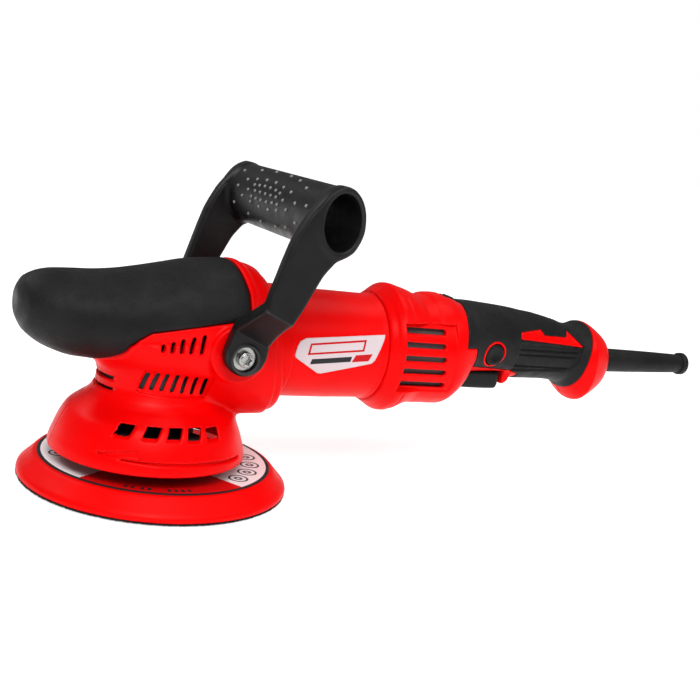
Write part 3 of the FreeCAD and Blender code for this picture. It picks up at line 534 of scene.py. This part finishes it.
def handle_part(side, rubber):
    """One half of the rear handle: its red shell, or the rubber moulded over it."""

    def field(x, y, z):
        ay = side * y
        form = handle_form(x, y, z)
        zone = outline(x, z, RED_EDGE)
        guard = smax(outline(x, z, GUARD), ay - 12.6, 2.5)
        inlay = outline(x, z, INLAY)
        pressed = np.hypot(x - LOCK.x, z - LOCK.z) - 7
        pocket = smax(smax(np.abs(x - 202.6) - 16.4, z - TRIGGER_ROOF, 1), ay - 13.6, 1)
        dial = smax(np.hypot(x - DIAL.x, z - DIAL.z) - 10.2, ay - 7, 0.6)
        if rubber:
            # the sunk panel and its three lines, then the shell's edge, the inlay and the controls
            groove = np.maximum(outline(x, z, GROOVED), -ay)
            skin = form - 0.35
            skin = smax(skin, -np.maximum(groove, -form - 0.7), 0.3)
            for level in (91.2, 88, 80.4):
                line = np.maximum(np.abs(z - level + (x - 222) * 0.03) - 0.55, groove + 1)
                skin = smax(skin, -np.maximum(line, -form - 1.7), 0.3)
            skin = smax(skin, zone + 0.15, 1)
            if side < 0:
                skin = smax(skin, -(np.maximum(inlay, 5 - ay) - 0.15), 0.6)
                skin = smax(skin, -(pressed - 1.3), 0.4)
            skin = smax(skin, -np.minimum(guard, pocket), 0.6)
            return smax(smax(skin, -(form + 2.9), 0.4), 0.1 - ay, 0.5)

        # the flat with the air intakes, and the seat for the rubber
        skin = form
        panel = smax(outline(x, z, SIDE_PANEL), 10 - ay, 1)
        panel = np.maximum(panel, -(np.hypot(y, z - MOTOR_Z) - 32.6))
        skin = smax(skin, -panel, 1)
        kept = -zone
        if side < 0:
            kept = np.minimum(kept, np.maximum(inlay, 5 - ay))
        sunk = np.maximum(-kept, -(form + 3))
        skin = smax(skin, -sunk, 0.4)
        skin = smin(skin, guard, 2)
        slots = np.maximum(bars(x, z, INTAKES, 3.3), 12 - ay)
        skin = smax(skin, -slots, 0.6)
        skin = smax(skin, -pocket, 0.8)
        skin = smax(skin, -dial, 0.8)
        if side < 0:
            skin = smax(skin, -smax(pressed, 8 - ay, 0.3), 0.4)

        # the hollow, narrower round the motor, and the mouth for the sleeve
        skin = smax(skin, 125.9 - x, 1)
        narrow = np.maximum(np.hypot(y, z - MOTOR_Z) - 29.4, x - 168)
        core = np.minimum(narrow, np.maximum(form + 4.8, 168 - x))
        skin = smax(skin, -np.maximum(core, x - END_WALL), 0.5)
        sleeve = np.maximum(np.hypot(y, z - SLEEVE.z) - 7.9, 292 - x)
        skin = smax(skin, -sleeve, 0.8)
        return smax(skin, 0.12 - ay, 0.5)

    front, rear, bottom, top, reach = (175, 286, 52, 118, 33) if rubber else (124, 311, 44, 124, 39.5)
    near, far = sorted((-1.0 * side, side * reach))
    return grown("handle", field, (front, near, bottom), (rear, far, top), FINE)


for side, name in SIDES:
    for part, rubber, slot in (("handle_shell_", False, "red_shell"), ("handle_grip_", True, "soft_grip")):
        show("look_" + part + name, handle_part(side, rubber), "housing", [part + name], slot)


def lock_ring(x, y, z):
    """The thin red collar round the lock button."""
    band = np.abs(np.hypot(x - LOCK.x, z - LOCK.z) - 7.75) - 0.6
    return smax(band, np.abs(HANDLE(x, y, z) + 0.3) - 0.9, 0.4)


low, high = (LOCK.x - 9.5, -27, LOCK.z - 9.5), (LOCK.x + 9.5, -17, LOCK.z + 9.5)
collar = grown("collar", lock_ring, low, high, 0.32)
show("look_lock_ring", collar, "housing", slot="red_shell")
screen = [(29.3, 133), (29.3, 167.6), (28.5, 167.6), (28.5, 133)]
show("look_intake_screen", lathe("screen", screen, (0, 0, MOTOR_Z), "x", 120), "housing", slot="black_nylon")

# ---------------------------------------------------------------- front handle

TILT = math.radians(23.5)
# how far the arm reaches to the front and to the rear of its line, by the distance from the pivot
ARM_FRONT = curve([(0, 11.4), (5.5, 12.2), (11.4, 12.8), (28, 13.3), (36.5, 14.4), (45, 15.6), (55, 17),
                   (66, 18), (77, 17.5), (86, 15.6), (93, 12.6), (99.6, 7.2)])
ARM_REAR = curve([(0, 11), (4, 11.2), (9, 9.9), (13.5, 8), (20, 5.4), (27, 4.2), (35, 4.9), (45, 5.2),
                  (55, 5.5), (64, 7.4), (70, 9.6), (75.5, 12.6), (85, 12), (93, 5), (99.6, -4)])


def oval(x, z, wide, tall):
    """Distance to the tube's upright oval section."""
    dx, dz = x - TUBE[0], z - TUBE[1]
    rho = np.maximum(np.hypot(dx, dz), 0.3)
    return rho - rho / np.hypot(dx / wide, dz / tall)


def front_handle(x, y, z):
    """Two cranked arms joined by the hollow tube."""
    ay = np.abs(y)
    dx, dz = x - PIVOT[0], z - PIVOT[1]
    u, v = dx * math.sin(TILT) + dz * math.cos(TILT), dx * math.cos(TILT) - dz * math.sin(TILT)
    around = np.hypot(u, v)
    blade = smax(smax(-v - ARM_FRONT(u), v - ARM_REAR(u), 1), smax(-u, u - 99, 1), 1)
    boss = np.hypot(u - 2, v + 0.2) - 11.4
    flat = smin(np.minimum(boss, blade), oval(x, z, *TUBE_HALF), 4)
    outer = 50 + 22 * np.clip((u - 11) / 16, 0, 1)
    inner = 41 + 22 * np.clip((u - 15) / 16, 0, 1)
    slab = smax((ay - outer) * np.where((u > 11) & (u < 27), 0.59, 1), (inner - ay) * 0.6, 1)
    arm = smax(flat, slab, 2.4)
    tube = smax(oval(x, z, *TUBE_HALF), ay - 72, 3)
    body = smin(arm, tube, 3)
    ring = smax(around - 8.2, np.abs(ay - 48) - 2.5, 0.6)
    body = smin(body, ring, 0.8)
    body = smax(body, -smax(around - 6.6, 46.4 - ay, 0.6), 0.6)
    body = np.maximum(body, -(around - 4.1))
    return smax(body, -oval(x, z, 10, 14.6), 2)


arms = grown("arms", front_handle, (14, -74, 67), (82, 74, 182), FINE * 1.06)
show("look_d_handle", arms, "d_handle", ["d_handle"], "black_nylon")

# ---------------------------------------------------------------- plate

random.seed(7)
AXIS = (PLATE.x, PLATE.y, 0)
foam = [(24.2, 10.2), (40.1, 10.2), (40.1, 6.9), (8.7, 6.9), (8.7, 2.05), (60, 2.05), (74.4, 1.25), (75, 1.8),
        (75.1, 2.9), (74.7, 4.3), (73, 6), (70, 9), (67.6, 11.6), (66.6, 12.6), (65.6, 12.95), (24.2, 13)]
show("look_backing_plate", lathe("foam", foam, AXIS, "z", 240), "plate", ["backing_plate"], "red_foam")
pile = [(8.7, 0.05), (30, 0), (60, 0), (74, 0), (74.7, 0.3), (74.9, 0.7), (74.7, 1.1), (74, 1.2), (60, 2),
        (8.7, 2)]
HOOKS, RAGGED = 720, (3, 6)
shag = [[random.uniform(-0.35, 0.35) if RAGGED[0] <= k <= RAGGED[1] else 0 for _ in range(HOOKS)]
        for k in range(len(pile))]
hooks = lathe("pile", pile, AXIS, "z", HOOKS, lambda k, i: shag[k][i], 60)
show("look_hook_face", hooks, "plate", ["hook_face"], "hook_loop")


class Print:
    """A pale finish on which plain shapes are drawn from the place in the object."""

    def __init__(self, name, pale):
        self.made = finish(name, pale, 0.38, grain=0.5, bump=0.03, spread=0.03,
                           extra=[("Specular IOR Level", 0.15)])
        self.nodes, self.links = self.made.node_tree.nodes, self.made.node_tree.links
        self.shader = self.nodes["Principled BSDF"]
        self.tone = self.shader.inputs["Base Color"].links[0].from_socket
        split = self.nodes.new("ShaderNodeSeparateXYZ")
        place = self.nodes.new("ShaderNodeTexCoord")
        self.links.new(place.outputs["Object"], split.inputs["Vector"])
        self.x, self.y, self.z = (self.maths("DIVIDE", split.outputs[axis], MM) for axis in "XYZ")

    def maths(self, what, a, b=0.0):
        m = self.nodes.new("ShaderNodeMath")
        m.operation = what
        for socket, v in zip(m.inputs, (a, b)):
            if isinstance(v, (int, float)):
                socket.default_value = v
            else:
                self.links.new(v, socket)
        return m.outputs[0]

    def away(self, value, centre):
        return self.maths("ABSOLUTE", self.maths("SUBTRACT", value, centre))

    def paint(self, mask, colour):
        m = self.nodes.new("ShaderNodeMix")
        m.data_type = "RGBA"
        self.links.new(mask, m.inputs["Factor"])
        self.links.new(self.tone, m.inputs["A"])
        m.inputs["B"].default_value = (*colour, 1)
        self.tone = m.outputs["Result"]
        self.links.new(self.tone, self.shader.inputs["Base Color"])


RED_INK, BLACK_INK, PALE_INK = (0.5, 0.004, 0.008), (0.02, 0.02, 0.022), (0.62, 0.53, 0.55)


def plate_print():
    """Red and pale sectors, a dark ring round them and small rings near the rim."""
    p = Print("plate_print", (0.95, 0.9, 0.92))
    x, y = p.maths("SUBTRACT", p.x, PLATE.x), p.maths("SUBTRACT", p.y, PLATE.y)
    radius = p.maths("SQRT", p.maths("ADD", p.maths("MULTIPLY", x, x), p.maths("MULTIPLY", y, y)))
    turned_to = math.radians(-101.7)
    along = p.maths("ADD", p.maths("MULTIPLY", x, math.cos(turned_to)),
                    p.maths("MULTIPLY", y, math.sin(turned_to)))
    facing = p.maths("ABSOLUTE", p.maths("DIVIDE", along, radius))
    p.paint(p.maths("GREATER_THAN", facing, math.cos(math.radians(42.8))), (0.72, 0.002, 0.003))
    p.paint(p.maths("LESS_THAN", p.away(radius, 63.8), 1.0), BLACK_INK)
    p.paint(p.maths("LESS_THAN", radius, 27.5), BLACK_INK)
    for at in (-121, -117.5, -112.5, -109, -99, -95.5, -92, -88.5):
        a = math.radians(at)
        out = p.maths("ADD", p.maths("MULTIPLY", x, math.cos(a)), p.maths("MULTIPLY", y, math.sin(a)))
        off = p.maths("SUBTRACT", p.maths("MULTIPLY", y, math.cos(a)), p.maths("MULTIPLY", x, math.sin(a)))
        p.paint(p.maths("MULTIPLY", p.maths("LESS_THAN", p.away(out, 58.5), 1.8),
                        p.maths("LESS_THAN", p.away(off, 0), 0.9)), BLACK_INK)
    for at in (-4, -19.2, -34, -48.6, 176, 161, 146):
        dx = p.maths("SUBTRACT", x, 53.5 * math.cos(math.radians(at)))
        dy = p.maths("SUBTRACT", y, 53.5 * math.sin(math.radians(at)))
        far = p.maths("SQRT", p.maths("ADD", p.maths("MULTIPLY", dx, dx), p.maths("MULTIPLY", dy, dy)))
        p.paint(p.maths("LESS_THAN", p.away(far, 5.0), 0.6), BLACK_INK)
        p.paint(p.maths("LESS_THAN", p.away(far, 1.7), 0.8), (0.12, 0.11, 0.11))
    return p.made


def motor_print():
    """A red bar, a dark bar and a red lozenge in the places of the sticker's print."""
    p = Print("motor_print", PALE_INK)
    for x, z, half, tall, rise, lean, ink in PRINT_BARS:
        level = p.maths("SUBTRACT", p.z, p.maths("MULTIPLY", p.maths("SUBTRACT", p.x, x), rise))
        shifted = p.maths("SUBTRACT", p.x, p.maths("MULTIPLY", p.maths("SUBTRACT", p.z, z), lean))
        inside = p.maths("MULTIPLY", p.maths("LESS_THAN", p.away(level, z), tall),
                         p.maths("LESS_THAN", p.away(shifted, x), half))
        p.paint(inside, ink)
    return p.made


disc = [(26, 13.02), (64.6, 13.02), (64.8, 13.2), (64.6, 13.4), (26, 13.4)]
label = lathe("disc", disc, AXIS, "z", 240)
show("look_plate_label", label, "plate", ["plate_label"], "pale_label")
label.materials[0] = plate_print()

# ---------------------------------------------------------------- sleeve, bolts, controls

tail = [(4.05, 289.6), (9.4, 289.6), (9.4, 293), (7.75, 293.3), (7.7, 312), (7.4, 330), (6.9, 350),
        (6.4, 366), (6.2, 370.4), (6.3, 371), (7.2, 371.3), (7.5, 371.8), (7.55, 374.4), (7.2, 375.1),
        (6.4, 375.4), (4.4, 375.4), (4.05, 375)]
sleeve = lathe("sleeve", tail, (0, 0, SLEEVE.z), "x", 96)
show("look_strain_relief", sleeve, "housing", ["strain_relief"], "soft_grip")


def bolts(x, y, z):
    """Two pan-headed bolts with six-lobed sockets."""
    ay = np.abs(y)
    dx, dz = x - PIVOT[0], z - PIVOT[1]
    r, a = np.hypot(dx, dz), np.arctan2(dz, dx)
    dome = 52 - 0.022 * r * r
    head = smax(r - 4.2, ay - dome, 0.8)
    head = smax(head, 47.8 - ay, 0.4)
    socket = smax(r - 2.4 - 0.38 * np.cos(6 * a), 48.4 - ay, 0.3)
    head = smax(head, -socket, 0.3)
    dish = smax(np.abs(r - 3.5) - 0.22, 51.45 - ay, 0.2)
    return smin(smax(head, -dish, 0.3), np.maximum(r - 3.95, np.abs(ay - 38) - 11), 0.3)


for side, name in ((-1, "near"), (1, "far")):
    low, high = sorted((side * 26.5, side * 52.6))
    mesh = grown("bolt", bolts, (PIVOT[0] - 6.6, low, PIVOT[1] - 6.6),
                 (PIVOT[0] + 6.6, high, PIVOT[1] + 6.6), 0.22)
    show("look_handle_bolt_" + name, mesh, "housing", ["handle_bolts"], "bright_steel")


def trigger(x, y, z):
    """The paddle with its curved underside, and the fin that reaches the switch."""
    low = 63.2 + 0.0016 * (x - 205) ** 2
    block = smax(smax(low - z, z - 75, 2), np.abs(y) - 12.8, 3)
    block = smax(block, smax(187.3 - x, x - 217, 3), 3)
    fin = smax(np.maximum(np.abs(x - 211.5) - 3.5, np.abs(y) - 2.5), np.abs(z - 79.5) - 5.5, 0.5)
    pin = np.hypot(x - 190, z - 72) - 1.6
    return smax(np.minimum(block, fin), -pin, 0.3)


paddle = grown("trigger", trigger, (186, -14, 59.5), (218.5, 14, 86.5), 0.5)
show("look_trigger", paddle, "trigger", ["trigger"], "black_nylon")


def lock(x, y, z):
    """The round lock button with its dished face and its stem."""
    r = np.hypot(x - LOCK.x, z - LOCK.z)
    cap = smax(smax(r - 6.6, y + 16.6, 0.4), -24.6 - y, 1.6)
    bowl = np.sqrt(r * r + (y + 36.2) ** 2) - 12.2
    cap = smax(cap, -bowl, 0.5)
    stem = smax(r - 2.5, np.abs(y + 15) - 2, 0.3)
    return np.minimum(cap, stem)


button = grown("lock", lock, (LOCK.x - 7.6, -26, LOCK.z - 7.6), (LOCK.x + 7.6, -12, LOCK.z + 7.6), 0.35)
show("look_lock_button", button, "lock_button", ["lock_button"], "black_nylon")


def dial(x, y, z):
    """The knurled speed wheel and its axle."""
    dx, dz = x - DIAL.x, z - DIAL.z
    r, a = np.hypot(dx, dz), np.arctan2(dz, dx)
    wheel = smax(r - 9.35 - 0.28 * np.cos(22 * a), np.abs(y) - 3.8, 0.8)
    return np.minimum(wheel, smax(r - 1.5, np.abs(y) - 6.5, 0.3))


wheel = grown("dial", dial, (DIAL.x - 10.4, -7.2, DIAL.z - 10.4), (DIAL.x + 10.4, 7.2, DIAL.z + 10.4), 0.32)
show("look_speed_dial", wheel, "speed_dial", ["speed_dial"], "black_nylon")

# ---------------------------------------------------------------- handle nubs and motor label

# place along Y and angle round the tube of each nub, in degrees up from the front
NUBS = [
    (52.4, 50), (31.5, 64), (13.9, 73), (-8.5, 71), (-24.3, 64), (38.9, 32), (25.9, 38), (12.7, 42),
    (-0.9, 42), (-14, 37), (-26.2, 32), (25.3, 22), (18.2, 23), (10.4, 24), (2.2, 24), (-6.3, 23),
    (-13.3, 21), (32.5, 14), (25.6, 7), (18.1, 6), (10.6, 6), (2, 6), (-6.1, 7), (-13.4, 7), (-20, 14),
    (65, 15), (49.8, 15), (-39.9, 49), (-36.4, 15), (-51, 16), (40.1, -1), (26.3, -7), (12.8, -11),
    (-1.2, -11), (-13.6, -7), (-26.5, -1), (53.5, -19), (-39.2, -18), (31.5, -33), (13.9, -42),
    (-8.5, -41), (-24.3, -33), (6, 15), (-2, 15), (14, 15), (21.8, 15), (-9.8, 15),
]
NUB_SIDES = 16
NUB_PROFILE = ((0.95, -0.4), (0.95, 0.1), (0.85, 0.45), (0.6, 0.75), (0.3, 0.9))
CLUSTER, CLUSTER_HALF, CLUSTER_SPREAD = 15, 10, 1.5
b = bmesh.new()
wide, tall = TUBE_HALF
for y, degrees in NUBS:
    off = degrees - CLUSTER
    a = math.radians(degrees if abs(off) > CLUSTER_HALF else CLUSTER + off * CLUSTER_SPREAD)
    out = Vector((-math.cos(a) / wide, 0, math.sin(a) / tall)).normalized()
    foot = Vector((TUBE[0] - wide * math.cos(a), y, TUBE[1] + tall * math.sin(a)))
    turn = out.to_track_quat("Z", "Y").to_matrix()
    rings = []
    for r, h in NUB_PROFILE:
        ring = []
        for k in range(NUB_SIDES):
            t = k * math.pi * 2 / NUB_SIDES
            ring.append(b.verts.new((foot + turn @ Vector((r * math.cos(t), r * math.sin(t), h))) * MM))
        rings.append(ring)
    for one, two in zip(rings, rings[1:]):
        for i in range(NUB_SIDES):
            j = (i + 1) % NUB_SIDES
            b.faces.new((one[i], one[j], two[j], two[i]))
    b.faces.new(rings[-1])
    b.faces.new(rings[0][::-1])
nubs = show("look_handle_nubs", finished("nubs", b, 60), "d_handle", slot="black_nylon")
# the nubs are painted pale grey all over, a painted highlight on them
nubs.data.materials[0] = finish("nub_tips", (0.2, 0.2, 0.2), 0.4, grain=0.3, bump=0.1)

LABEL = [(67.6, 83.6), (68.6, 88.6), (70.2, 91.4), (73.6, 93.2), (123, 97.2), (122.6, 95.2), (117.4, 82.4),
         (115.6, 80.6), (85.4, 73.3), (83.2, 73.6), (68.4, 82.2)]
# middle in X and Z, half width, half height, slope and lean of each printed bar, and its ink
PRINT_BARS = [(93, 89, 17, 3.2, 0.1, 0.2, RED_INK), (90, 81.5, 12, 1.5, 0.1, 0.2, BLACK_INK),
              (109, 83.6, 5, 2, 0.1, 0.5, RED_INK), (93, 89, 15.8, 2.1, 0.1, 0.2, PALE_INK)]


def badge(x, y, z):
    """A thin pale sticker bent over the motor housing's near side."""
    r = np.hypot(y, z - MOTOR_Z)
    shape = outline(x, z, LABEL)
    return smax(smax(np.maximum(shape, y), r - 31.75, 0.2), 30.9 - r, 0.2)


sticker = grown("badge", badge, (66, -33, 71.5), (125, -27, 99), 0.45)
show("look_motor_label", sticker, "housing", ["motor_label"], "pale_label")
sticker.materials[0] = motor_print()

# ---------------------------------------------------------------- camera, light and floor

LOOK = Vector((0.1099, -0.0137, 0.08407))
AZIMUTH, ELEVATION, ROLL = (math.radians(a) for a in (-27.45, 11.1, 8.47))
DISTANCE, LENS, SENSOR = 0.6514, 57.99, 36


def aimed(thing, spot, target, roll=0.0):
    """Stands a camera or light at a spot, looking at a target."""
    thing.location = spot
    turn = (Vector(target) - Vector(spot)).to_track_quat("-Z", "Y").to_matrix()
    thing.rotation_euler = (turn @ Matrix.Rotation(roll, 3, "Z")).to_euler()
    bpy.context.scene.collection.objects.link(thing)
    return thing


lens = bpy.data.cameras.new("camera")
lens.lens, lens.sensor_width = LENS, SENSOR
lens.clip_start, lens.clip_end = 0.01, 20
back = Vector((math.sin(AZIMUTH) * math.cos(ELEVATION), -math.cos(AZIMUTH) * math.cos(ELEVATION),
               math.sin(ELEVATION)))
bpy.context.scene.camera = aimed(bpy.data.objects.new("camera", lens), LOOK + back * DISTANCE, LOOK, ROLL)

PANELS = (("key", (-0.3, -0.75, 0.85), (0.5, 0.35), 4.5), ("strip", (0.7, -0.6, 0.75), (0.9, 0.12), 1.2),
          ("rim", (-0.6, 0.6, 0.8), (0.6, 0.25), 3))
SUNS = (("day", (-0.1, -0.8, 0.9), 1.25), ("sky", (0.3, 0.1, 1.0), 0.7))
SUN_SPREAD = math.radians(35)
LIT_BY_WORLD, SEEN_WORLD = 0.22, 1.0
FLOOR_REACH, FLOOR_DROP = 40.0, 0.0004
for name, spot, size, watts in PANELS:
    panel = bpy.data.lights.new(name, "AREA")
    panel.shape, panel.energy = "RECTANGLE", watts
    panel.size, panel.size_y = size
    aimed(bpy.data.objects.new(name, panel), spot, (0.1, 0, 0.08))
for name, spot, strength in SUNS:
    broad = bpy.data.lights.new(name, "SUN")
    broad.energy, broad.angle = strength, SUN_SPREAD
    aimed(bpy.data.objects.new(name, broad), spot, (0, 0, 0))

world = bpy.data.worlds.new("studio")
world.use_nodes = True
nodes, links = world.node_tree.nodes, world.node_tree.links
backdrop = nodes["Background"]
seen = nodes.new("ShaderNodeLightPath")
level = nodes.new("ShaderNodeMapRange")
level.inputs["To Min"].default_value = LIT_BY_WORLD
level.inputs["To Max"].default_value = SEEN_WORLD
links.new(seen.outputs["Is Camera Ray"], level.inputs["Value"])
links.new(level.outputs["Result"], backdrop.inputs["Strength"])
backdrop.inputs["Color"].default_value = (1, 1, 1, 1)
bpy.context.scene.world = world
bpy.context.scene.view_settings.view_transform = "Standard"

b = bmesh.new()
b.faces.new([b.verts.new((x * FLOOR_REACH, y * FLOOR_REACH, -FLOOR_DROP))
             for x, y in ((-1, -1), (1, -1), (1, 1), (-1, 1))])
sheet = bpy.data.meshes.new("floor")
b.to_mesh(sheet)
b.free()
floor = bpy.data.objects.new("floor", sheet)
bpy.context.scene.collection.objects.link(floor)
sheet.materials.append(finish("studio_floor", (0.93, 0.93, 0.93), 0.8, grain=2, bump=0.0, spread=0.01,
                              extra=[("Specular IOR Level", 0), ("Emission Color", (1, 1, 1, 1)),
                                     ("Emission Strength", 0.45)]))
